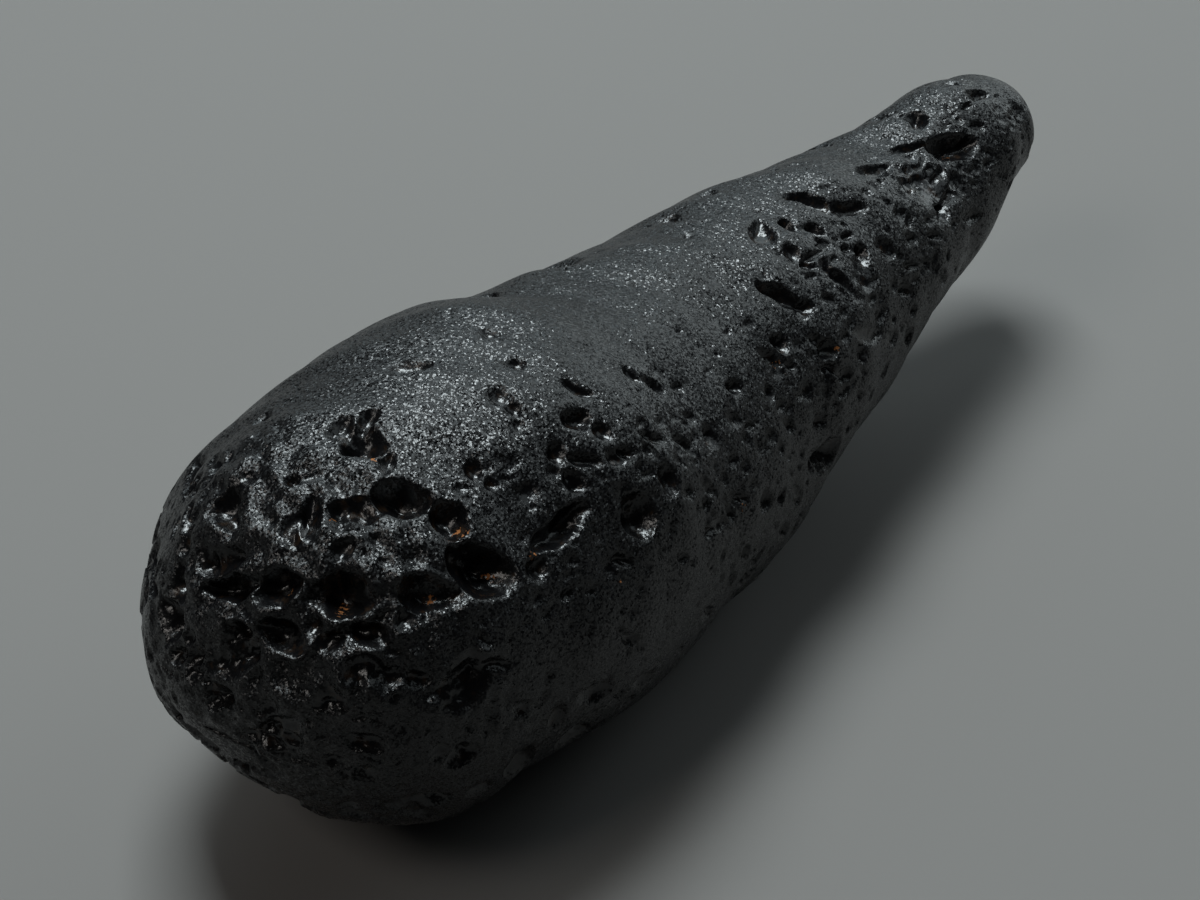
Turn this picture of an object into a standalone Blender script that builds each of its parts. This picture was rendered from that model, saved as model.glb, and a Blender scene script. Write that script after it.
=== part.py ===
"""A splash-form tektite: one long drop of black natural glass that rests on a small flat spot.

Metres, +Z up, with the origin on the floor under the middle of the stone. +X runs from the blunt
end to the tail, and -Y is the front. The body is a drop swept along its middle line. Broad lumps
are raised on it, and round-bottomed pits are etched into it, so that neighbouring pits meet in
sharp ridges.

A place on the skin is told by two numbers: how far it lies along the skin from the blunt tip, in
mm, and how far round, in degrees, where 0 is the front, 90 the top, 180 the back and 270 the
underside.
"""
import math

import bmesh
import bpy
import numpy as np
from mathutils import Matrix

MM = 0.001

# Driving dimensions, in mm
LENGTH = 78.0
BLUNT_REACH = 13.0
TAIL_REACH = 4.0
REST_DEPTH = 0.4

# Middle line of the drop, in mm: distance from the blunt tip, side shift, height over the lowest
# point, radius
MIDDLE_LINE = (
    (13.0, 0.0, 14.3, 12.7),
    (17.0, 0.0, 13.8, 13.2),
    (21.0, 0.0, 13.5, 13.5),
    (26.0, 0.0, 13.3, 13.3),
    (31.0, 0.0, 12.35, 12.35),
    (36.0, 0.0, 11.8, 11.7),
    (41.0, 0.0, 11.9, 10.8),
    (47.0, 0.0, 12.8, 9.8),
    (52.0, 0.0, 13.1, 8.8),
    (57.0, 0.0, 13.2, 7.7),
    (62.0, 0.0, 13.6, 6.7),
    (67.0, 0.0, 14.5, 5.7),
    (71.0, 0.0, 15.3, 5.0),
    (74.0, 0.0, 15.4, 4.15),
)

# Broad lumps and flats: place along, place round, spread in mm, height in mm (below 0 is a flat)
LUMPS = (
    (7.5, 268.0, 7.0, -1.1),
    (7.0, 195.0, 5.0, 0.35),
    (13.3, 136.0, 5.0, -0.45),
    (11.0, 34.0, 2.2, 0.5),
    (36.3, 120.0, 2.2, -0.5),
    (40.0, 117.0, 2.0, 0.3),
    (43.2, 118.0, 1.1, -0.9),
    (46.0, 116.0, 0.9, -0.4),
    (47.0, 105.0, 4.0, 0.3),
    (61.8, 81.0, 1.4, 0.25),
    (63.6, 70.0, 1.4, 0.3),
    (63.0, 95.0, 2.6, 0.4),
    (70.0, 95.0, 2.2, -0.4),
    (77.0, 100.0, 2.4, 0.15),
    (75.5, 340.0, 2.6, 0.45),
    (79.0, 315.0, 2.0, -0.4),
    (24.0, 185.0, 6.0, 0.5),
    (50.0, 200.0, 6.0, -0.5),
    (66.0, 230.0, 4.0, 0.4),
)

# Pits read from the side that shows: place along, place round, length, width, depth, and the turn
# of the long way from the stone's length towards the top
LARGE_PITS = (
    # Blunt end
    (12.4, 105.0, 2.3, 1.8, 0.65, 30.0),
    (9.8, 100.0, 2.9, 1.8, 0.6, -70.0),
    (8.8, 91.0, 3.9, 1.6, 0.75, -61.0),
    (10.4, 73.0, 2.7, 2.2, 0.75, -48.0),
    (8.7, 62.0, 3.2, 1.8, 0.8, -60.0),
    (14.3, 79.0, 2.8, 1.3, 0.5, 39.0),
    (16.3, 72.5, 3.1, 1.6, 0.65, -44.0),
    (12.6, 58.0, 3.6, 2.5, 0.9, -35.0),
    (11.3, 36.5, 2.5, 1.5, 0.55, -35.0),
    (12.4, 44.5, 2.2, 1.7, 0.6, -48.0),
    (6.0, 72.0, 3.2, 2.6, 0.5, 0.0),
    (6.1, 128.0, 2.8, 2.0, 0.55, 70.0),
    (5.5, 20.0, 3.2, 2.4, 0.45, 30.0),
    (16.0, 20.0, 4.0, 3.0, 0.45, 20.0),
    # Over the shoulder
    (19.6, 85.5, 3.2, 2.5, 0.85, 86.0),
    (18.4, 67.0, 3.2, 2.5, 1.1, -35.0),
    (19.6, 56.5, 3.0, 2.0, 0.95, -73.0),
    (19.4, 41.5, 4.3, 3.2, 1.25, -60.0),
    (15.9, 45.5, 3.0, 2.4, 0.9, -30.0),
    (25.1, 40.0, 4.8, 1.8, 0.75, 5.0),
    (30.0, 31.5, 3.0, 2.3, 0.85, -65.0),
    (29.8, 58.5, 2.2, 1.5, 0.55, -42.0),
    # Tail half
    (50.7, 58.5, 3.2, 1.5, 0.65, -70.0),
    (56.0, 47.5, 2.5, 1.2, 0.45, -73.0),
    (54.0, 79.0, 2.9, 1.9, 0.5, 49.0),
    (59.2, 80.5, 3.5, 1.5, 0.55, -60.0),
    (61.2, 69.0, 3.3, 1.0, 0.4, -29.0),
    (56.1, 23.0, 4.0, 1.2, 0.3, -25.0),
    (74.0, 60.5, 4.2, 2.3, 0.95, -33.0),
    (71.4, 81.5, 2.9, 1.2, 0.45, -33.0),
    (66.8, 79.5, 3.5, 1.7, 0.55, -12.0),
    (69.3, 55.0, 5.6, 3.8, 0.35, -22.0),
    (70.2, 40.0, 5.0, 1.0, 0.35, 13.0),
    (72.3, 17.0, 3.2, 0.9, 0.3, -31.0),
    (79.4, 77.0, 2.9, 1.2, 0.4, -14.0),
)
SMALL_PITS = (
    # Blunt end
    (11.5, 130.0, 1.1, 0.9, 0.2, 0.0),
    (11.3, 121.5, 1.4, 1.1, 0.3, 0.0),
    (8.4, 119.5, 2.0, 1.2, 0.4, 0.0),
    (8.2, 143.0, 2.0, 1.2, 0.35, 50.0),
    (15.5, 91.0, 1.1, 1.0, 0.25, 0.0),
    (14.0, 67.0, 1.5, 1.3, 0.35, 0.0),
    (10.5, 49.5, 1.5, 1.3, 0.4, -40.0),
    (7.1, 78.5, 1.9, 1.2, 0.4, -58.0),
    (13.6, 27.0, 1.6, 1.3, 0.35, 0.0),
    (4.2, 100.0, 1.8, 1.5, 0.35, 0.0),
    # Over the shoulder
    (20.9, 91.0, 1.6, 1.2, 0.45, 0.0),
    (19.5, 94.0, 1.9, 1.3, 0.4, 30.0),
    (19.3, 76.0, 1.7, 1.1, 0.4, 37.0),
    (22.9, 63.0, 1.6, 1.0, 0.35, 54.0),
    (23.0, 58.0, 1.0, 0.8, 0.25, 55.0),
    (22.3, 34.5, 1.7, 1.4, 0.35, 0.0),
    (27.6, 24.5, 1.6, 1.0, 0.3, -44.0),
    (25.7, 96.5, 2.9, 1.0, 0.35, -42.0),
    (27.3, 73.0, 1.6, 1.3, 0.3, 0.0),
    (27.1, 69.2, 1.2, 0.9, 0.3, 46.0),
    (26.6, 66.0, 0.9, 0.7, 0.2, 44.0),
    (29.7, 78.0, 1.5, 0.9, 0.25, -50.0),
    (30.8, 92.0, 1.4, 0.9, 0.25, -50.0),
    (31.4, 65.0, 2.1, 0.9, 0.3, -66.0),
    (27.5, 55.0, 1.7, 1.1, 0.35, 49.0),
    (27.1, 48.0, 1.6, 1.1, 0.35, 66.0),
    (28.5, 50.5, 2.3, 0.9, 0.35, -46.0),
    (30.7, 53.0, 1.4, 1.1, 0.35, 86.0),
    # Middle
    (36.0, 61.5, 1.8, 0.9, 0.3, -68.0),
    (37.1, 57.0, 2.0, 0.9, 0.35, -36.0),
    (33.8, 45.0, 2.6, 0.8, 0.3, -31.0),
    (36.0, 40.0, 2.2, 0.8, 0.3, -41.0),
    (31.0, 47.0, 1.0, 0.7, 0.2, -48.0),
    (32.8, 35.0, 1.9, 1.6, 0.45, -47.0),
    (37.6, 17.0, 1.5, 1.0, 0.3, -84.0),
    (35.2, 15.0, 1.5, 0.8, 0.25, -33.0),
    (32.2, 14.5, 1.4, 0.7, 0.2, -36.0),
    (39.1, 18.0, 1.4, 0.7, 0.25, -34.0),
    (42.7, 45.0, 1.6, 0.8, 0.3, -21.0),
    (42.1, 33.0, 1.5, 0.6, 0.2, -32.0),
    (46.1, 25.0, 1.7, 0.8, 0.25, -47.0),
    (45.4, 37.5, 1.4, 0.8, 0.3, -73.0),
    (51.2, 26.0, 1.8, 0.8, 0.25, -36.0),
    (37.2, 119.0, 2.4, 1.3, 0.3, 70.0),
    (42.6, 120.0, 2.6, 1.3, 0.3, 70.0),
    # Tail half
    (48.5, 47.0, 1.6, 1.2, 0.45, -35.0),
    (46.9, 46.0, 1.4, 1.0, 0.35, -59.0),
    (51.8, 49.0, 1.4, 0.8, 0.3, -41.0),
    (51.7, 33.0, 1.9, 1.7, 0.5, 0.0),
    (54.4, 59.5, 1.4, 0.8, 0.3, -43.0),
    (55.5, 61.0, 2.0, 0.6, 0.2, -13.0),
    (53.9, 66.0, 1.5, 1.2, 0.35, 80.0),
    (57.5, 68.5, 1.5, 1.1, 0.35, -51.0),
    (58.3, 55.0, 1.0, 0.8, 0.25, -59.0),
    (59.2, 49.0, 1.6, 1.2, 0.4, -73.0),
    (59.3, 59.5, 1.5, 0.8, 0.3, -14.0),
    (56.1, 75.0, 1.4, 1.2, 0.35, -77.0),
    (63.3, 30.0, 1.5, 0.8, 0.25, -32.0),
    (62.2, 21.0, 1.8, 0.9, 0.3, -31.0),
    (64.8, 40.0, 1.6, 0.8, 0.25, -28.0),
    (67.1, 32.5, 1.5, 0.8, 0.25, -36.0),
    (67.0, 6.5, 2.0, 0.9, 0.3, -40.0),
    (74.0, 92.5, 1.8, 1.5, 0.45, -68.0),
)

# Fields of pits where the stone is seen from other sides: from and to along, from and to round,
# how many, smallest and largest length
PIT_FIELDS = (
    (2.0, 20.0, 145.0, 350.0, 42, 1.6, 3.8),
    (20.0, 36.0, 150.0, 245.0, 26, 1.4, 3.6),
    (36.0, 52.0, 140.0, 240.0, 18, 1.3, 3.0),
    (52.0, 70.0, 110.0, 330.0, 30, 1.2, 3.2),
    (70.0, 82.0, 120.0, 380.0, 12, 1.0, 2.2),
    (20.0, 50.0, 300.0, 370.0, 34, 1.3, 3.2),
    (46.0, 54.0, 240.0, 300.0, 8, 1.3, 2.6),
)
FIELD_SEED = 7

# The patch of the underside that the stone rests on has no pits: from and to along, and round
REST_PATCH = (21.0, 46.0, 245.0, 295.0)

# Strewn pits: width as a share of length, depth as a share of width, turn, and the split of layers
WIDTH_SHARE = (0.5, 0.95)
DEPTH_SHARE = (0.18, 0.32)
STREWN_TURN = (-80.0, 30.0)
LARGE_FROM = 2.2

# How rounded a pit's wall is: 1 is a plain bowl, and less than 1 has a steeper rim
ROUNDNESS = 0.9

# What is lower than this, in mm, once the skin is thinned, is pressed flat onto the floor
REST_SNAP = 0.03

# How fine the swept skin is before it is thinned, and how many faces are left
RINGS = 330
SEGMENTS = 260
FACES_LEFT = 9600


def smooth_through(stations, places):
    """Values of a smooth curve through the stations, whose first column is the place."""
    table = np.array(stations)
    at = table[:, 0]
    values = table[:, 1:]
    slopes = np.gradient(values, at, axis=0)
    index = np.clip(np.searchsorted(at, places) - 1, 0, len(at) - 2)
    gap = (at[index + 1] - at[index])[:, None]
    t = (places - at[index])[:, None] / gap
    ease = 3 * t**2 - 2 * t**3
    run = values[index] * (1 - ease) + values[index + 1] * ease
    bend = slopes[index] * (t**3 - 2 * t**2 + t) + slopes[index + 1] * (t**3 - t**2)
    return run + bend * gap


def drop_profile():
    """The drop's middle line and radius, against the distance along its skin from the blunt tip."""
    first = MIDDLE_LINE[0][0]
    last = MIDDLE_LINE[-1][0]
    turn = np.radians(np.linspace(0, 90, 90))
    places = np.linspace(first, last, 600)
    middle = smooth_through(MIDDLE_LINE, places)
    blunt = first - BLUNT_REACH * np.cos(turn)
    tail = last + TAIL_REACH * np.sin(turn)
    along = np.concatenate([blunt[:-1], places, tail[1:]])
    radius = np.concatenate([
        middle[0, 2] * np.sin(turn[:-1]),
        middle[:, 2],
        middle[-1, 2] * np.cos(turn[1:]),
    ])
    side = np.interp(along, places, middle[:, 0])
    height = np.interp(along, places, middle[:, 1])
    skin = np.concatenate([[0.0], np.cumsum(np.hypot(np.diff(along), np.diff(radius)))])
    return skin, along - LENGTH / 2, side, height - REST_DEPTH, radius


PROFILE = drop_profile()
SKIN_LENGTH = PROFILE[0][-1]


def body(skin, around):
    """Points of the plain drop, in mm."""
    at, along, side, height, radius = PROFILE
    r = np.interp(skin, at, radius)
    x = np.interp(skin, at, along)
    y = np.interp(skin, at, side) - r * np.cos(around)
    z = np.interp(skin, at, height) + r * np.sin(around)
    return np.stack([x, y, z], axis=-1)


def skin_frame(skin, around):
    """Unit vectors on the drop: along it towards the tail, round it towards the top, and outwards."""
    step = 0.05
    before = body(np.clip(skin - step, 0, SKIN_LENGTH), around)
    after = body(np.clip(skin + step, 0, SKIN_LENGTH), around)
    along = after - before
    round_it = np.stack([np.zeros_like(around), np.sin(around), np.cos(around)], axis=-1)
    along /= np.linalg.norm(along, axis=-1, keepdims=True)
    outward = np.cross(along, round_it)
    return along, round_it, outward / np.linalg.norm(outward, axis=-1, keepdims=True)


def swell(points):
    """Slow unevenness of the whole body, in mm."""
    x, y, z = points.T
    waves = np.sin(0.42 * x + 0.31 * y + 1.3) * np.sin(0.36 * z - 0.22 * y + 0.4)
    ripples = np.sin(0.95 * x - 0.7 * z + 2.1) * np.sin(0.9 * y + 0.55 * x)
    return 0.22 * waves + 0.1 * ripples


def wander(points):
    """Sideways shifts, in mm, that keep the rims of the pits from being true ellipses."""
    turned = points[:, (1, 2, 0)]
    return 0.16 * np.sin(1.7 * turned + 0.6 * points) + 0.07 * np.sin(4.1 * turned - 1.3 * points)


def lumps(points):
    """Height of the broad lumps and flats, in mm."""
    total = np.zeros(len(points))
    for place, turn, spread, height in LUMPS:
        centre = body(np.array(place), np.radians(turn))
        apart = np.sum((points - centre) ** 2, axis=1)
        total += height * np.exp(-apart / spread**2)
    return total


def pit_layer(points, pits):
    """How deep a layer of pits goes at each point, in mm; where pits overlap the deeper one wins."""
    deepest = np.zeros(len(points))
    for place, turn, length, width, depth, lie in pits:
        centre = body(np.array(place), np.radians(turn))
        along, round_it, outward = skin_frame(np.array(place), np.radians(turn))
        long_way = along * math.cos(math.radians(lie)) + round_it * math.sin(math.radians(lie))
        cross_way = np.cross(outward, long_way)
        apart = points - centre
        near = np.flatnonzero(np.sum(apart**2, axis=1) < length**2)
        apart = apart[near]
        reach = (apart @ long_way / (length / 2)) ** 2 + (apart @ cross_way / (width / 2)) ** 2
        bowl = depth * np.clip(1 - reach, 0, None) ** ROUNDNESS
        deepest[near] = np.maximum(deepest[near], bowl)
    return deepest


def strewn_pits():
    """Pits strewn over the fields, the same ones each time, and none on the rest patch."""
    dice = np.random.RandomState(FIELD_SEED)
    pits = []
    for start, end, low, high, count, smallest, largest in PIT_FIELDS:
        for _ in range(count):
            place = dice.uniform(start, end)
            turn = dice.uniform(low, high)
            length = smallest + (largest - smallest) * dice.uniform() ** 2
            width = length * dice.uniform(*WIDTH_SHARE)
            depth = width * dice.uniform(*DEPTH_SHARE)
            lie = dice.uniform(*STREWN_TURN)
            on_rest = REST_PATCH[0] < place < REST_PATCH[1] and REST_PATCH[2] < turn < REST_PATCH[3]
            if not on_rest:
                pits.append((place, turn, length, width, depth, lie))
    return pits


def skin_points(skin, around):
    """Points of the finished skin, in mm."""
    plain = body(skin, around)
    outward = skin_frame(skin, around)[2]
    shifted = plain + wander(plain)
    strewn = strewn_pits()
    large = LARGE_PITS + tuple(pit for pit in strewn if pit[2] >= LARGE_FROM)
    small = SMALL_PITS + tuple(pit for pit in strewn if pit[2] < LARGE_FROM)
    rise = lumps(plain) + swell(plain) - pit_layer(shifted, large) - pit_layer(shifted, small)
    return plain + outward * rise[:, None]


def glass_material():
    """Black natural glass with an etched, half-dull skin."""
    material = bpy.data.materials.new("tektite_glass")
    material.use_nodes = True
    shader = material.node_tree.nodes["Principled BSDF"]
    shader.inputs["Base Color"].default_value = (0.012, 0.012, 0.013, 1.0)
    shader.inputs["Roughness"].default_value = 0.42
    shader.inputs["Metallic"].default_value = 0.0
    return material


def clear_scene():
    for thing in list(bpy.data.objects):
        bpy.data.objects.remove(thing, do_unlink=True)


def ball_places(mesh):
    """Each vertex of a unit ball as a distance along the skin and an angle round it."""
    spots = np.zeros(len(mesh.vertices) * 3)
    mesh.vertices.foreach_get("co", spots)
    spots = spots.reshape(-1, 3)
    tilt = np.arctan2(np.hypot(spots[:, 0], spots[:, 1]), -spots[:, 2])
    around = np.arctan2(spots[:, 0], spots[:, 1])
    return tilt / math.pi * SKIN_LENGTH, around


def thinned(thing, faces_left):
    """The object's mesh with fewer faces, the small ones kept where the skin bends most."""
    modifier = thing.modifiers.new("thin", "DECIMATE")
    modifier.ratio = faces_left / (2 * len(thing.data.polygons))
    evaluated = thing.evaluated_get(bpy.context.evaluated_depsgraph_get())
    mesh = bpy.data.meshes.new_from_object(evaluated)
    thing.modifiers.remove(modifier)
    return mesh


def flatten_rest(mesh):
    """Makes the rest spot: the vertices below the floor, or hardly above it, come to lie on it."""
    for vertex in mesh.vertices:
        if vertex.co.z < REST_SNAP:
            vertex.co.z = 0.0


def make_tektite(collection):
    """The stone, shaped and thinned in mm and then brought to metres."""
    mesh = bpy.data.meshes.new("tektite")
    ball = bmesh.new()
    bmesh.ops.create_uvsphere(ball, u_segments=SEGMENTS, v_segments=RINGS, radius=1.0)
    ball.to_mesh(mesh)
    ball.free()
    skin, around = ball_places(mesh)
    mesh.vertices.foreach_set("co", skin_points(skin, around).ravel())
    mesh.update()
    tektite = bpy.data.objects.new("tektite", mesh)
    collection.objects.link(tektite)
    tektite.data = thinned(tektite, FACES_LEFT)
    tektite.data.name = "tektite"
    flatten_rest(tektite.data)
    tektite.data.transform(Matrix.Scale(MM, 4))
    tektite.data.shade_smooth()
    tektite.data.materials.append(glass_material())
    return tektite


def main():
    clear_scene()
    collection = bpy.data.collections.new("tektite")
    bpy.context.scene.collection.children.link(collection)
    make_tektite(collection)


main()
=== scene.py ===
"""The looks of a splash-form tektite: black natural glass with an etched, sparkling skin.

The stone's skin is made again here from the same form as the solid, much finer, with the small
pits and the grain that the solid leaves out. Places on the skin are told as in the solid: how far
along the skin from the blunt tip, in mm, and how far round, in degrees, where 0 is the front, 90
the top, 180 the back and 270 the underside.
"""
import math

import bmesh
import bpy
import numpy as np
from mathutils import Matrix, Vector


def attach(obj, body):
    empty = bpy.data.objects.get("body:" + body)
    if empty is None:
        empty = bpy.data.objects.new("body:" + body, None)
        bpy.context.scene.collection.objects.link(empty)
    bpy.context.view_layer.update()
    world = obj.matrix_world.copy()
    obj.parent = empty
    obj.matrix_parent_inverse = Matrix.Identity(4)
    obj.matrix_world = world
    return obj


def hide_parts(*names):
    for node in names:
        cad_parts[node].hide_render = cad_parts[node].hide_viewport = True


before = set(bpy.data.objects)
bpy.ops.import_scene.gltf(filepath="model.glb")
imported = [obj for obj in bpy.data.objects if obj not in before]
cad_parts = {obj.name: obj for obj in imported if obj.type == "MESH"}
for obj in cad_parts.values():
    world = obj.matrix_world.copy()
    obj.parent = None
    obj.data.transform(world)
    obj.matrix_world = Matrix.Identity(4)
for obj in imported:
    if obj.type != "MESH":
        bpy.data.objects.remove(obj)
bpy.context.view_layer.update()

MM = 0.001

# The stone's form, in mm, the same as the solid's
LENGTH = 78.0
BLUNT_REACH = 13.0
TAIL_REACH = 4.0
REST_DEPTH = 0.4

# Middle line of the drop: distance from the blunt tip, side shift, height, radius. The stone looks
# straight, so nothing is shifted to the side.
MIDDLE_LINE = (
    (13.0, 0.0, 14.3, 12.7),
    (17.0, 0.0, 13.8, 13.2),
    (21.0, 0.0, 13.5, 13.5),
    (26.0, 0.0, 13.3, 13.3),
    (31.0, 0.0, 12.35, 12.35),
    (36.0, 0.0, 11.8, 11.7),
    (41.0, 0.0, 11.9, 10.8),
    (47.0, 0.0, 12.8, 9.8),
    (52.0, 0.0, 13.1, 8.8),
    (57.0, 0.0, 13.2, 7.7),
    (62.0, 0.0, 13.6, 6.7),
    (67.0, 0.0, 14.5, 5.7),
    (71.0, 0.0, 15.3, 5.0),
    (74.0, 0.0, 15.4, 4.15),
)

# Broad lumps and flats: place along, place round, spread, height (below 0 is a flat)
LUMPS = (
    (7.5, 268.0, 7.0, -1.1),
    (7.0, 195.0, 5.0, 0.35),
    (13.3, 136.0, 5.0, -0.45),
    (11.0, 34.0, 2.2, 0.5),
    (36.3, 120.0, 2.2, -0.5),
    (40.0, 117.0, 2.0, 0.3),
    (43.2, 118.0, 1.1, -0.9),
    (46.0, 116.0, 0.9, -0.4),
    (47.0, 105.0, 4.0, 0.3),
    (61.8, 81.0, 1.4, 0.25),
    (63.6, 70.0, 1.4, 0.3),
    (63.0, 95.0, 2.6, 0.4),
    (70.0, 95.0, 2.2, -0.4),
    (77.0, 100.0, 2.4, 0.15),
    (75.5, 340.0, 2.6, 0.45),
    (79.0, 315.0, 2.0, -0.4),
    (24.0, 185.0, 6.0, 0.5),
    (50.0, 200.0, 6.0, -0.5),
    (66.0, 230.0, 4.0, 0.4),
)

# Pits: place along, place round, length, width, depth, turn from the stone's length to the top
LARGE_PITS = (
    # Blunt end
    (12.4, 105.0, 2.3, 1.8, 0.65, 30.0),
    (9.8, 100.0, 2.9, 1.8, 0.6, -70.0),
    (8.8, 91.0, 3.9, 1.6, 0.75, -61.0),
    (10.4, 73.0, 2.7, 2.2, 0.75, -48.0),
    (8.7, 62.0, 3.2, 1.8, 0.8, -60.0),
    (14.3, 79.0, 2.8, 1.3, 0.5, 39.0),
    (16.3, 72.5, 3.1, 1.6, 0.65, -44.0),
    (12.6, 58.0, 3.6, 2.5, 0.9, -35.0),
    (11.3, 36.5, 2.5, 1.5, 0.55, -35.0),
    (12.4, 44.5, 2.2, 1.7, 0.6, -48.0),
    (6.0, 72.0, 3.2, 2.6, 0.5, 0.0),
    (6.1, 128.0, 2.8, 2.0, 0.55, 70.0),
    (5.5, 20.0, 3.2, 2.4, 0.45, 30.0),
    (16.0, 20.0, 4.0, 3.0, 0.45, 20.0),
    # Over the shoulder
    (19.6, 85.5, 3.2, 2.5, 0.85, 86.0),
    (18.4, 67.0, 3.2, 2.5, 1.1, -35.0),
    (19.6, 56.5, 3.0, 2.0, 0.95, -73.0),
    (19.4, 41.5, 4.3, 3.2, 1.25, -60.0),
    (15.9, 45.5, 3.0, 2.4, 0.9, -30.0),
    (25.1, 40.0, 4.8, 1.8, 0.75, 5.0),
    (30.0, 31.5, 3.0, 2.3, 0.85, -65.0),
    (29.8, 58.5, 2.2, 1.5, 0.55, -42.0),
    # Tail half
    (50.7, 58.5, 3.2, 1.5, 0.65, -70.0),
    (56.0, 47.5, 2.5, 1.2, 0.45, -73.0),
    (54.0, 79.0, 2.9, 1.9, 0.5, 49.0),
    (59.2, 80.5, 3.5, 1.5, 0.55, -60.0),
    (61.2, 69.0, 3.3, 1.0, 0.4, -29.0),
    (56.1, 23.0, 4.0, 1.2, 0.3, -25.0),
    (74.0, 60.5, 4.2, 2.3, 0.95, -33.0),
    (71.4, 81.5, 2.9, 1.2, 0.45, -33.0),
    (66.8, 79.5, 3.5, 1.7, 0.55, -12.0),
    (69.3, 55.0, 5.6, 3.8, 0.35, -22.0),
    (70.2, 40.0, 5.0, 1.0, 0.35, 13.0),
    (72.3, 17.0, 3.2, 0.9, 0.3, -31.0),
    (79.4, 77.0, 2.9, 1.2, 0.4, -14.0),
)
SMALL_PITS = (
    # Blunt end
    (11.5, 130.0, 1.1, 0.9, 0.2, 0.0),
    (11.3, 121.5, 1.4, 1.1, 0.3, 0.0),
    (8.4, 119.5, 2.0, 1.2, 0.4, 0.0),
    (8.2, 143.0, 2.0, 1.2, 0.35, 50.0),
    (15.5, 91.0, 1.1, 1.0, 0.25, 0.0),
    (14.0, 67.0, 1.5, 1.3, 0.35, 0.0),
    (10.5, 49.5, 1.5, 1.3, 0.4, -40.0),
    (7.1, 78.5, 1.9, 1.2, 0.4, -58.0),
    (13.6, 27.0, 1.6, 1.3, 0.35, 0.0),
    (4.2, 100.0, 1.8, 1.5, 0.35, 0.0),
    # Over the shoulder
    (20.9, 91.0, 1.6, 1.2, 0.45, 0.0),
    (19.5, 94.0, 1.9, 1.3, 0.4, 30.0),
    (19.3, 76.0, 1.7, 1.1, 0.4, 37.0),
    (22.9, 63.0, 1.6, 1.0, 0.35, 54.0),
    (23.0, 58.0, 1.0, 0.8, 0.25, 55.0),
    (22.3, 34.5, 1.7, 1.4, 0.35, 0.0),
    (27.6, 24.5, 1.6, 1.0, 0.3, -44.0),
    (25.7, 96.5, 2.9, 1.0, 0.35, -42.0),
    (27.3, 73.0, 1.6, 1.3, 0.3, 0.0),
    (27.1, 69.2, 1.2, 0.9, 0.3, 46.0),
    (26.6, 66.0, 0.9, 0.7, 0.2, 44.0),
    (29.7, 78.0, 1.5, 0.9, 0.25, -50.0),
    (30.8, 92.0, 1.4, 0.9, 0.25, -50.0),
    (31.4, 65.0, 2.1, 0.9, 0.3, -66.0),
    (27.5, 55.0, 1.7, 1.1, 0.35, 49.0),
    (27.1, 48.0, 1.6, 1.1, 0.35, 66.0),
    (28.5, 50.5, 2.3, 0.9, 0.35, -46.0),
    (30.7, 53.0, 1.4, 1.1, 0.35, 86.0),
    # Middle
    (36.0, 61.5, 1.8, 0.9, 0.3, -68.0),
    (37.1, 57.0, 2.0, 0.9, 0.35, -36.0),
    (33.8, 45.0, 2.6, 0.8, 0.3, -31.0),
    (36.0, 40.0, 2.2, 0.8, 0.3, -41.0),
    (31.0, 47.0, 1.0, 0.7, 0.2, -48.0),
    (32.8, 35.0, 1.9, 1.6, 0.45, -47.0),
    (37.6, 17.0, 1.5, 1.0, 0.3, -84.0),
    (35.2, 15.0, 1.5, 0.8, 0.25, -33.0),
    (32.2, 14.5, 1.4, 0.7, 0.2, -36.0),
    (39.1, 18.0, 1.4, 0.7, 0.25, -34.0),
    (42.7, 45.0, 1.6, 0.8, 0.3, -21.0),
    (42.1, 33.0, 1.5, 0.6, 0.2, -32.0),
    (46.1, 25.0, 1.7, 0.8, 0.25, -47.0),
    (45.4, 37.5, 1.4, 0.8, 0.3, -73.0),
    (51.2, 26.0, 1.8, 0.8, 0.25, -36.0),
    (37.2, 119.0, 2.4, 1.3, 0.3, 70.0),
    (42.6, 120.0, 2.6, 1.3, 0.3, 70.0),
    # Tail half
    (48.5, 47.0, 1.6, 1.2, 0.45, -35.0),
    (46.9, 46.0, 1.4, 1.0, 0.35, -59.0),
    (51.8, 49.0, 1.4, 0.8, 0.3, -41.0),
    (51.7, 33.0, 1.9, 1.7, 0.5, 0.0),
    (54.4, 59.5, 1.4, 0.8, 0.3, -43.0),
    (55.5, 61.0, 2.0, 0.6, 0.2, -13.0),
    (53.9, 66.0, 1.5, 1.2, 0.35, 80.0),
    (57.5, 68.5, 1.5, 1.1, 0.35, -51.0),
    (58.3, 55.0, 1.0, 0.8, 0.25, -59.0),
    (59.2, 49.0, 1.6, 1.2, 0.4, -73.0),
    (59.3, 59.5, 1.5, 0.8, 0.3, -14.0),
    (56.1, 75.0, 1.4, 1.2, 0.35, -77.0),
    (63.3, 30.0, 1.5, 0.8, 0.25, -32.0),
    (62.2, 21.0, 1.8, 0.9, 0.3, -31.0),
    (64.8, 40.0, 1.6, 0.8, 0.25, -28.0),
    (67.1, 32.5, 1.5, 0.8, 0.25, -36.0),
    (67.0, 6.5, 2.0, 0.9, 0.3, -40.0),
    (74.0, 92.5, 1.8, 1.5, 0.45, -68.0),
)

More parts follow.
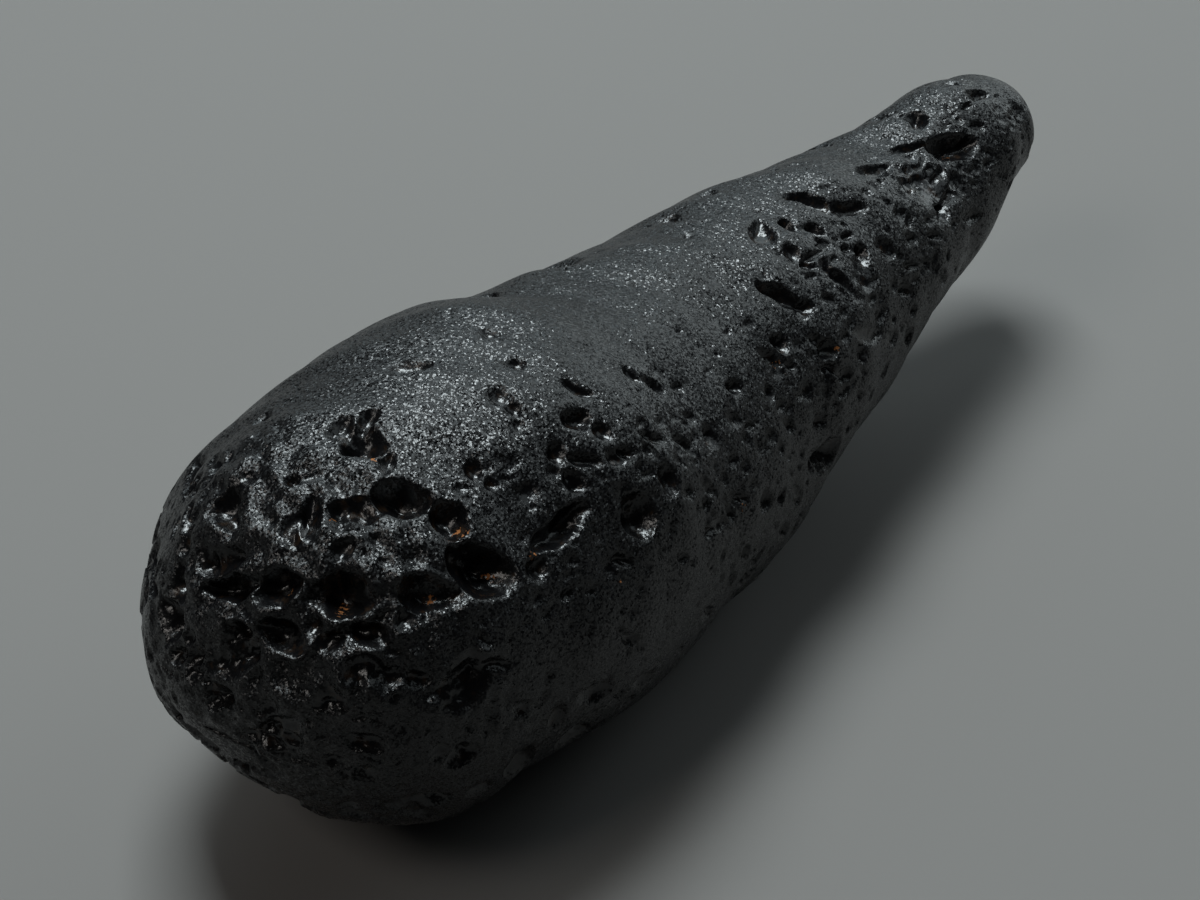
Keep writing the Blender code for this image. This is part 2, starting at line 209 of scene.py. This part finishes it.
# Fields of pits that aren't placed one by one: from and to along, from and to round, how many,
# smallest and largest length
PIT_FIELDS = (
    (2.0, 20.0, 145.0, 350.0, 42, 1.6, 3.8),
    (20.0, 36.0, 150.0, 245.0, 26, 1.4, 3.6),
    (36.0, 52.0, 140.0, 240.0, 18, 1.3, 3.0),
    (52.0, 70.0, 110.0, 330.0, 30, 1.2, 3.2),
    (70.0, 82.0, 120.0, 380.0, 12, 1.0, 2.2),
    (20.0, 50.0, 300.0, 370.0, 34, 1.3, 3.2),
    (46.0, 54.0, 240.0, 300.0, 8, 1.3, 2.6),
)
FIELD_SEED = 7

# Where the stone rests, which has no pits: from and to along, from and to round
REST_PATCH = (21.0, 46.0, 245.0, 295.0)

# Strewn pits: width as a share of length, depth as a share of width, turn, and the split of layers
WIDTH_SHARE = (0.5, 0.95)
DEPTH_SHARE = (0.18, 0.32)
STREWN_TURN = (-80.0, 30.0)
LARGE_FROM = 2.2

# The solid's own pits are this many times as deep here, since its coarse faces need shallow ones
DEEPEN = 1.35

# How rounded a pit's wall is: 1 is a plain bowl, and less than 1 has a steeper rim
ROUNDNESS = 0.9

# Fields of pits too small for the solid, in the same order: middling ones that crowd the rough
# ends, and fine ones all over
MIDDLING_FIELDS = (
    (3.0, 20.0, 15.0, 125.0, 90, 0.9, 2.2),
    (3.0, 20.0, 125.0, 375.0, 120, 0.9, 2.4),
    (19.0, 34.0, 20.0, 62.0, 26, 0.9, 1.8),
    (34.0, 60.0, -30.0, 48.0, 70, 0.9, 2.0),
    (20.0, 60.0, 140.0, 320.0, 120, 0.9, 2.2),
    (50.0, 72.0, 15.0, 78.0, 60, 0.8, 2.0),
    (66.0, 84.0, 30.0, 100.0, 34, 0.8, 1.8),
    (60.0, 84.0, 100.0, 375.0, 60, 0.8, 2.0),
)
FINE_FIELDS = (
    (2.0, 20.0, 10.0, 140.0, 260, 0.4, 1.0),
    (2.0, 20.0, 140.0, 370.0, 420, 0.4, 1.1),
    (20.0, 50.0, -40.0, 62.0, 360, 0.4, 1.0),
    (20.0, 50.0, 62.0, 150.0, 60, 0.3, 0.7),
    (20.0, 50.0, 150.0, 320.0, 420, 0.4, 1.0),
    (50.0, 82.0, 0.0, 100.0, 300, 0.3, 0.9),
    (50.0, 82.0, 100.0, 360.0, 420, 0.3, 0.9),
)
FINE_SEED = 11

# Slow unevenness of the body: height in mm, then two crossed waves, each as its pace along x, y and z
# in radians a millimetre and its start
SWELLS = (
    (0.22, (0.42, 0.31, 0.0, 1.3), (0.0, -0.22, 0.36, 0.4)),
    (0.1, (0.95, 0.0, -0.7, 2.1), (0.55, 0.9, 0.0, 0.0)),
)

# Wandering of the pits' rims: shift in mm, and the waves' paces across the shift and along it
WANDERS = (
    (0.16, 1.7, 0.6),
    (0.07, 4.1, -1.3),
)

# Crumpled skin of the blunt end, a sum of waves that run every way: how many, how far apart their
# crests are and how high each is, in mm
CRUMPLE_WAVES = 20
CRUMPLE_APART = (1.1, 3.0)
CRUMPLE_HEIGHT = 0.035

# It reaches along the skin to an end, in mm, and round it from the front over the top to a place on the
# back, in degrees. It fades out before both, in mm and in radians, and starts unfaded at the front.
CRUMPLE_END = 20.0
CRUMPLE_END_FADE = 3.0
CRUMPLE_BACK = 128.0
CRUMPLE_BACK_FADE = 0.4

# Steps in which the drop's profile is worked out: over each round end, and between them
CAP_STEPS = 90
LINE_STEPS = 600

# Fineness of the swept skin, and how many faces are left once it is thinned
RINGS = 1000
SEGMENTS = 640
FACES_LEFT = 196000

# Clay left in the pits: place along, place round, radius
CLAY_SPOTS = (
    (20.3, 38.0, 0.8),
    (16.3, 43.0, 0.8),
    (10.7, 71.0, 0.6),
    (12.0, 55.0, 0.8),
    (19.9, 52.0, 0.7),
    (27.3, 21.5, 0.7),
    (29.7, 106.0, 0.8),
    (18.9, 79.0, 0.5),
    (22.6, 38.0, 0.6),
    (47.4, 42.0, 0.6),
    (52.5, 31.0, 0.6),
    (74.2, 58.0, 0.8),
    (38.9, 15.0, 0.6),
    (50.4, 58.0, 0.5),
    (15.0, 75.0, 0.5),
    (9.0, 200.0, 1.0),
    (24.0, 210.0, 0.9),
    (40.0, 175.0, 0.8),
    (60.0, 220.0, 0.8),
)


def smooth_through(stations, places):
    """Values of a smooth curve through the stations, whose first column is the place."""
    table = np.array(stations)
    at = table[:, 0]
    values = table[:, 1:]
    slopes = np.gradient(values, at, axis=0)
    index = np.clip(np.searchsorted(at, places) - 1, 0, len(at) - 2)
    gap = (at[index + 1] - at[index])[:, None]
    t = (places - at[index])[:, None] / gap
    ease = 3 * t**2 - 2 * t**3
    run = values[index] * (1 - ease) + values[index + 1] * ease
    bend = slopes[index] * (t**3 - 2 * t**2 + t) + slopes[index + 1] * (t**3 - t**2)
    return run + bend * gap


def drop_profile():
    """The drop's middle line and radius, against the distance along its skin from the blunt tip."""
    first = MIDDLE_LINE[0][0]
    last = MIDDLE_LINE[-1][0]
    turn = np.radians(np.linspace(0, 90, CAP_STEPS))
    places = np.linspace(first, last, LINE_STEPS)
    middle = smooth_through(MIDDLE_LINE, places)
    blunt = first - BLUNT_REACH * np.cos(turn)
    tail = last + TAIL_REACH * np.sin(turn)
    along = np.concatenate([blunt[:-1], places, tail[1:]])
    radius = np.concatenate([
        middle[0, 2] * np.sin(turn[:-1]),
        middle[:, 2],
        middle[-1, 2] * np.cos(turn[1:]),
    ])
    side = np.interp(along, places, middle[:, 0])
    height = np.interp(along, places, middle[:, 1])
    skin = np.concatenate([[0.0], np.cumsum(np.hypot(np.diff(along), np.diff(radius)))])
    return skin, along - LENGTH / 2, side, height - REST_DEPTH, radius


PROFILE = drop_profile()
SKIN_LENGTH = PROFILE[0][-1]


def body(skin, around):
    """Points of the plain drop, in mm."""
    at, along, side, height, radius = PROFILE
    r = np.interp(skin, at, radius)
    x = np.interp(skin, at, along)
    y = np.interp(skin, at, side) - r * np.cos(around)
    z = np.interp(skin, at, height) + r * np.sin(around)
    return np.stack([x, y, z], axis=-1)


def skin_frame(skin, around):
    """Unit vectors on the drop: along it towards the tail, round it towards the top, and outwards,
    as they are over a short step along the skin."""
    step = 0.05
    before = body(np.clip(skin - step, 0, SKIN_LENGTH), around)
    after = body(np.clip(skin + step, 0, SKIN_LENGTH), around)
    along = after - before
    round_it = np.stack([np.zeros_like(around), np.sin(around), np.cos(around)], axis=-1)
    along /= np.linalg.norm(along, axis=-1, keepdims=True)
    outward = np.cross(along, round_it)
    return along, round_it, outward / np.linalg.norm(outward, axis=-1, keepdims=True)


def wave(points, x_pace, y_pace, z_pace, start):
    """One wave over the points, with its pace along each axis."""
    x, y, z = points.T
    return np.sin(x_pace * x + y_pace * y + z_pace * z + start)


def swell(points):
    """Slow unevenness of the whole body, in mm."""
    return sum(height * (wave(points, *one) * wave(points, *other)) for height, one, other in SWELLS)


def wander(points):
    """Sideways shifts, in mm, that keep the rims of the pits from being true ellipses."""
    turned = points[:, (1, 2, 0)]
    return sum(shift * np.sin(across * turned + along * points) for shift, across, along in WANDERS)


def lumps(points):
    """Height of the broad lumps and flats, in mm."""
    total = np.zeros(len(points))
    for place, turn, spread, height in LUMPS:
        centre = body(np.array(place), np.radians(turn))
        apart = np.sum((points - centre) ** 2, axis=1)
        total += height * np.exp(-apart / spread**2)
    return total


def pit_layer(skin, points, pits):
    """How deep a layer of pits goes at each point, in mm; the points come in order along the skin."""
    deepest = np.zeros(len(points))
    for place, turn, length, width, depth, lie in pits:
        centre = body(np.array(place), np.radians(turn))
        along, round_it, outward = skin_frame(np.array(place), np.radians(turn))
        long_way = along * math.cos(math.radians(lie)) + round_it * math.sin(math.radians(lie))
        cross_way = np.cross(outward, long_way)
        start, end = np.searchsorted(skin, (place - length, place + length))
        apart = points[start:end] - centre
        near = np.flatnonzero(np.sum(apart**2, axis=1) < length**2)
        apart = apart[near]
        reach = (apart @ long_way / (length / 2)) ** 2 + (apart @ cross_way / (width / 2)) ** 2
        bowl = depth * np.clip(1 - reach, 0, None) ** ROUNDNESS
        deepest[start + near] = np.maximum(deepest[start + near], bowl)
    return deepest


def strewn_pits(fields, seed):
    """Pits strewn over the fields, the same ones each time, and none on the rest patch."""
    dice = np.random.RandomState(seed)
    pits = []
    for start, end, low, high, count, smallest, largest in fields:
        for _ in range(count):
            place = dice.uniform(start, end)
            turn = dice.uniform(low, high)
            length = smallest + (largest - smallest) * dice.uniform() ** 2
            width = length * dice.uniform(*WIDTH_SHARE)
            depth = width * dice.uniform(*DEPTH_SHARE)
            lie = dice.uniform(*STREWN_TURN)
            on_rest = REST_PATCH[0] < place < REST_PATCH[1] and REST_PATCH[2] < turn < REST_PATCH[3]
            if not on_rest:
                pits.append((place, turn, length, width, depth, lie))
    return pits


def crumple(points, skin, around):
    """Rough unevenness of the pitted blunt end, in mm."""
    dice = np.random.RandomState(FINE_SEED)
    total = np.zeros(len(points))
    for _ in range(CRUMPLE_WAVES):
        way = dice.normal(size=3)
        way *= 2 * math.pi / (np.linalg.norm(way) * dice.uniform(*CRUMPLE_APART))
        total += np.sin(points @ way + dice.uniform(0, 2 * math.pi))
    near_tip = np.clip((CRUMPLE_END - skin) / CRUMPLE_END_FADE, 0, 1)
    off_back = np.clip((np.radians(CRUMPLE_BACK) - around) / CRUMPLE_BACK_FADE, 0, 1)
    return total * CRUMPLE_HEIGHT * near_tip * off_back


def clay_cover(points):
    """How much clay lies at each point, from 0 to 1."""
    cover = np.zeros(len(points))
    for place, turn, radius in CLAY_SPOTS:
        centre = body(np.array(place), np.radians(turn))
        apart = np.sum((points - centre) ** 2, axis=1)
        cover = np.maximum(cover, np.exp(-apart / radius**2))
    return cover


def finished_skin(skin, around):
    """Points of the finished skin in mm, and how deep in a pit and how clayed each one is."""
    plain = body(skin, around)
    outward = skin_frame(skin, around)[2]
    shifted = plain + wander(plain)
    strewn = strewn_pits(PIT_FIELDS, FIELD_SEED)
    large = LARGE_PITS + tuple(pit for pit in strewn if pit[2] >= LARGE_FROM)
    small = SMALL_PITS + tuple(pit for pit in strewn if pit[2] < LARGE_FROM)
    middling = strewn_pits(MIDDLING_FIELDS, FINE_SEED)
    fine = strewn_pits(FINE_FIELDS, FINE_SEED)
    pits = DEEPEN * sum(pit_layer(skin, shifted, layer) for layer in (large, small))
    pits += sum(pit_layer(skin, shifted, layer) for layer in (middling, fine))
    rise = lumps(plain) + swell(plain) + crumple(plain, skin, around) - pits
    return plain + outward * rise[:, None], pits, clay_cover(plain)


def wrapped_skin():
    """Places for the rings of the skin's mesh, as distances along it and angles round it, with one
    vertex at each tip, and the faces between them."""
    ring_places = np.linspace(0, SKIN_LENGTH, RINGS + 1)[1:-1]
    turns = np.linspace(0, 2 * math.pi, SEGMENTS, endpoint=False)
    skin = np.concatenate([[0.0], np.repeat(ring_places, SEGMENTS), [SKIN_LENGTH]])
    around = np.concatenate([[0.0], np.tile(turns, len(ring_places)), [0.0]])
    here = np.arange(SEGMENTS)
    beside = np.roll(here, -1)
    last_ring = 1 + (len(ring_places) - 1) * SEGMENTS
    faces = [[0, 1 + a, 1 + b] for a, b in zip(here, beside)]
    for start in range(1, last_ring, SEGMENTS):
        above = start + SEGMENTS
        faces += np.stack([start + here, above + here, above + beside, start + beside], axis=1).tolist()
    faces += [[last_ring + a, len(skin) - 1, last_ring + b] for a, b in zip(here, beside)]
    return skin, around, faces


def thinned(thing, faces_left):
    """The object's mesh with fewer faces, the small ones kept where the skin bends most."""
    modifier = thing.modifiers.new("thin", "DECIMATE")
    modifier.ratio = faces_left / (2 * len(thing.data.polygons))
    evaluated = thing.evaluated_get(bpy.context.evaluated_depsgraph_get())
    mesh = bpy.data.meshes.new_from_object(evaluated)
    thing.modifiers.remove(modifier)
    return mesh


def store(mesh, name, values):
    """Keeps a value for each vertex, under a name that the material reads."""
    attribute = mesh.attributes.new(name, "FLOAT", "POINT")
    attribute.data.foreach_set("value", values.astype(np.float32))


def flatten_rest(mesh):
    """Makes the rest spot: the vertices below the floor come to lie on it."""
    for vertex in mesh.vertices:
        vertex.co.z = max(vertex.co.z, 0.0)


def make_skin(material):
    """The stone's whole skin as one closed mesh, shaped and thinned in mm and then brought to metres."""
    skin, around, faces = wrapped_skin()
    points, pit, clay = finished_skin(skin, around)
    mesh = bpy.data.meshes.new("tektite_skin")
    mesh.from_pydata(points.tolist(), [], faces)
    store(mesh, "pit", pit)
    store(mesh, "clay", clay)
    mesh.update()
    stone = bpy.data.objects.new("tektite_skin", mesh)
    bpy.context.scene.collection.objects.link(stone)
    stone.data = thinned(stone, FACES_LEFT)
    stone.data.name = "tektite_skin"
    flatten_rest(stone.data)
    stone.data.transform(Matrix.Scale(MM, 4))
    stone.data.shade_smooth()
    stone.data.materials.append(material)
    return stone


def linear(hex_colour):
    """An sRGB hex colour as linear red, green, blue and alpha."""
    parts = [int(hex_colour[i:i + 2], 16) / 255 for i in (1, 3, 5)]
    return [p / 12.92 if p <= 0.04045 else ((p + 0.055) / 1.055) ** 2.4 for p in parts] + [1.0]


def add_node(tree, kind, settings=None, **inputs):
    """Adds a node, with its settings, and sets or links its inputs by name or by number."""
    node = tree.nodes.new(kind)
    for name, value in (settings or {}).items():
        setattr(node, name, value)
    for name, value in inputs.items():
        socket = node.inputs[int(name[1:])] if name[0] == "_" else node.inputs[name.replace("_", " ")]
        if isinstance(value, bpy.types.NodeSocket):
            tree.links.new(value, socket)
        else:
            socket.default_value = value
    return node


# The glass's patterns, in mm: the leathery grain across and high, the facets that sparkle, the stain's
# blotches and the clay's crumbs
GRAIN = 0.25
GRAIN_HEIGHT = 0.07
FACET = 0.11
STAIN_BLOTCH = 0.6
CLAY_CRUMB = 0.2

# How far the facets lean from the surface, as the side of a cube of shifts to a unit normal, and the
# share of grain and lean that is left inside the pits
FACET_LEAN = 0.62
GRAIN_LEFT_IN_PITS = 0.3

# How the skin, the pits' floors and the clay scatter what they mirror; each facet has a gloss of its own
SKIN_ROUGHNESS = (0.2, 0.5)
PIT_ROUGHNESS = 0.25
CLAY_ROUGHNESS = 0.8

GLASS_BLACK = "#060607"
STAIN_BROWN = "#1d140d"
CLAY_ORANGE = "#8c5628"
FLOOR_GREY = "#686664"


def etched_tektite_glass():
    """Tektite: natural glass, black at this thickness, etched by soil acids. The skin is a dull,
    leathery field of grains a quarter of a millimetre across, with facets that sparkle one by one,
    and the pits are smoother and glossier."""
    material = bpy.data.materials.new("etched_tektite_glass")
    material.use_nodes = True
    tree = material.node_tree
    shader = tree.nodes["Principled BSDF"]

    # Glass, but the etched skin mirrors a little less than polished glass, whose level is 0.5
    shader.inputs["IOR"].default_value = 1.5
    shader.inputs["Specular IOR Level"].default_value = 0.36
    shader.inputs["Metallic"].default_value = 0.0

    place = add_node(tree, "ShaderNodeTexCoord").outputs["Object"]
    in_mm = add_node(tree, "ShaderNodeVectorMath", {"operation": "SCALE"},
                     _0=place, Scale=1 / MM).outputs[0]
    pit = add_node(tree, "ShaderNodeAttribute", {"attribute_name": "pit"}).outputs["Fac"]
    clay = add_node(tree, "ShaderNodeAttribute", {"attribute_name": "clay"}).outputs["Fac"]

    # Inside the pits, from the rim to about a quarter of a millimetre down
    inside = add_node(tree, "ShaderNodeMapRange", {"interpolation_type": "SMOOTHSTEP"},
                      Value=pit, From_Min=0.02, From_Max=0.28, To_Min=0.0, To_Max=1.0).outputs[0]
    calm = add_node(tree, "ShaderNodeMapRange", {},
                    Value=inside, To_Min=1.0, To_Max=GRAIN_LEFT_IN_PITS).outputs[0]

    # Tiny facets, each tilted its own way, over a leathery grain. Real facets are mostly finer, and
    # these are drawn as coarse as they need to be to show.
    grain = add_node(tree, "ShaderNodeTexNoise", {},
                     Vector=in_mm, Scale=1 / GRAIN, Detail=2.0).outputs["Fac"]
    grained = add_node(tree, "ShaderNodeBump", {},
                       Strength=calm, Distance=GRAIN_HEIGHT * MM, Height=grain).outputs[0]
    facets = add_node(tree, "ShaderNodeTexVoronoi", {"feature": "F1"}, Vector=in_mm, Scale=1 / FACET)
    own_way = add_node(tree, "ShaderNodeVectorMath", {"operation": "SUBTRACT"},
                       _0=facets.outputs["Color"], _1=(0.5, 0.5, 0.5)).outputs[0]
    lean = add_node(tree, "ShaderNodeMath", {"operation": "MULTIPLY"}, _0=calm, _1=FACET_LEAN).outputs[0]
    leaned = add_node(tree, "ShaderNodeVectorMath", {"operation": "SCALE"},
                      _0=own_way, Scale=lean).outputs[0]
    tilted = add_node(tree, "ShaderNodeVectorMath", {"operation": "ADD"}, _0=grained, _1=leaned).outputs[0]
    facing = add_node(tree, "ShaderNodeVectorMath", {"operation": "NORMALIZE"}, _0=tilted).outputs[0]
    tree.links.new(facing, shader.inputs["Normal"])

    # Each facet of the skin has its own gloss, and the pits are glossier
    own = add_node(tree, "ShaderNodeSeparateColor", {}, _0=facets.outputs["Color"]).outputs[0]
    skin_rough = add_node(tree, "ShaderNodeMapRange", {},
                          Value=own, To_Min=SKIN_ROUGHNESS[0], To_Max=SKIN_ROUGHNESS[1]).outputs[0]
    rough = add_node(tree, "ShaderNodeMix", {}, _0=inside, _2=skin_rough, _3=PIT_ROUGHNESS).outputs[0]

    # Clay: orange brown and dull, in crumbs
    crumbs = add_node(tree, "ShaderNodeTexNoise", {},
                      Vector=in_mm, Scale=1 / CLAY_CRUMB, Detail=2.0).outputs["Fac"]
    lot = add_node(tree, "ShaderNodeMath", {"operation": "MULTIPLY"}, _0=clay, _1=crumbs).outputs[0]
    clayed = add_node(tree, "ShaderNodeMapRange", {"interpolation_type": "SMOOTHSTEP"},
                      Value=lot, From_Min=0.48, From_Max=0.6).outputs[0]

    # A thin brown stain in blotches on the pits' floors
    blotches = add_node(tree, "ShaderNodeTexNoise", {},
                        Vector=in_mm, Scale=1 / STAIN_BLOTCH, Detail=3.0).outputs["Fac"]
    stained = add_node(tree, "ShaderNodeMath", {"operation": "MULTIPLY"}, _0=inside, _1=blotches).outputs[0]
    stain = add_node(tree, "ShaderNodeMapRange", {"interpolation_type": "SMOOTHSTEP"},
                     Value=stained, From_Min=0.52, From_Max=0.72).outputs[0]

    # The black glass under the stain, and the clay over both
    glass = add_node(tree, "ShaderNodeMix", {"data_type": "RGBA"}, _0=stain,
                     _6=linear(GLASS_BLACK), _7=linear(STAIN_BROWN)).outputs[2]
    colour = add_node(tree, "ShaderNodeMix", {"data_type": "RGBA"}, _0=clayed,
                      _6=glass, _7=linear(CLAY_ORANGE)).outputs[2]
    dull = add_node(tree, "ShaderNodeMix", {}, _0=clayed, _2=rough, _3=CLAY_ROUGHNESS).outputs[0]
    tree.links.new(colour, shader.inputs["Base Color"])
    tree.links.new(dull, shader.inputs["Roughness"])
    return material


def floor_paint():
    """The studio's floor: plain matt paint, a grey that comes out pale under the lights."""
    material = bpy.data.materials.new("pale_floor")
    material.use_nodes = True
    shader = material.node_tree.nodes["Principled BSDF"]
    shader.inputs["Base Color"].default_value = linear(FLOOR_GREY)
    shader.inputs["Roughness"].default_value = 0.9
    return material


# Camera: looked at from over the blunt end and the front, as a close hand-held shot. The lens is told
# as its focal length in widths of the picture.
VIEW_TURN = 49.87
VIEW_RISE = 40.0
VIEW_DISTANCE = 150.0
LOOK_AT = (-7.21, -0.94, 13.34)
FOCAL_IN_WIDTHS = 2.06
SENSOR_WIDTH = 36.0
NEAREST_SEEN = 10.0

# Half the width of the floor, in metres
FLOOR_REACH = 1.5

# The studio's soft square lights: name, turn, rise, distance and size in mm, power in watts, colour
LIGHTS = (
    ("ceiling", 212.0, 70.0, 500.0, 200.0, 3.8, "#ecf7fa"),
    ("window", 224.0, 33.0, 500.0, 300.0, 0.5, "#e2f4fa"),
    ("lamp", 264.0, 20.0, 450.0, 260.0, 0.5, "#eaf6f8"),
    ("right_side", 302.0, 46.0, 500.0, 300.0, 0.25, "#e8f6fa"),
    ("left_side", 104.0, 50.0, 500.0, 160.0, 0.48, "#fbf6f0"),
)

# The faint light that comes from everywhere
STUDIO_COLOUR = "#e8edf2"
STUDIO_STRENGTH = 0.02


def towards(turn, rise):
    """Unit vector to a place that lies at a turn from the front towards the blunt end, and a rise."""
    turn, rise = math.radians(turn), math.radians(rise)
    return Vector((-math.sin(turn) * math.cos(rise), -math.cos(turn) * math.cos(rise), math.sin(rise)))


def make_camera():
    """A close view of the stone from over its blunt end and its front."""
    data = bpy.data.cameras.new("camera")
    data.sensor_fit = "HORIZONTAL"
    data.sensor_width = SENSOR_WIDTH
    data.lens = SENSOR_WIDTH * FOCAL_IN_WIDTHS
    data.clip_start = NEAREST_SEEN * MM
    camera = bpy.data.objects.new("camera", data)
    way = towards(VIEW_TURN, VIEW_RISE)
    camera.location = (Vector(LOOK_AT) + way * VIEW_DISTANCE) * MM
    camera.rotation_euler = way.to_track_quat("Z", "Y").to_euler()
    bpy.context.scene.collection.objects.link(camera)
    bpy.context.scene.camera = camera


def make_floor():
    """A wide flat floor at height 0, which the stone rests on."""
    mesh = bpy.data.meshes.new("floor")
    sheet = bmesh.new()
    bmesh.ops.create_grid(sheet, x_segments=1, y_segments=1, size=FLOOR_REACH)
    sheet.to_mesh(mesh)
    sheet.free()
    mesh.materials.append(floor_paint())
    floor = bpy.data.objects.new("floor", mesh)
    bpy.context.scene.collection.objects.link(floor)


def make_light(name, turn, rise, distance, size, power, colour):
    """A soft square light that faces the stone."""
    data = bpy.data.lights.new(name, "AREA")
    data.shape = "SQUARE"
    data.size = size * MM
    data.energy = power
    data.color = linear(colour)[:3]
    light = bpy.data.objects.new(name, data)
    way = towards(turn, rise)
    light.location = (Vector(LOOK_AT) + way * distance) * MM
    light.rotation_euler = way.to_track_quat("Z", "Y").to_euler()
    bpy.context.scene.collection.objects.link(light)


def light_studio():
    """The lights and the faint light all round, with colours shown just as they are lit."""
    for light in LIGHTS:
        make_light(*light)
    world = bpy.data.worlds.new("studio")
    world.use_nodes = True
    background = world.node_tree.nodes["Background"]
    background.inputs["Color"].default_value = linear(STUDIO_COLOUR)
    background.inputs["Strength"].default_value = STUDIO_STRENGTH
    bpy.context.scene.world = world
    bpy.context.scene.view_settings.view_transform = "Standard"


def main():
    make_camera()
    make_floor()
    light_studio()
    stone = make_skin(etched_tektite_glass())
    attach(stone, "root")
    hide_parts("tektite")


main()
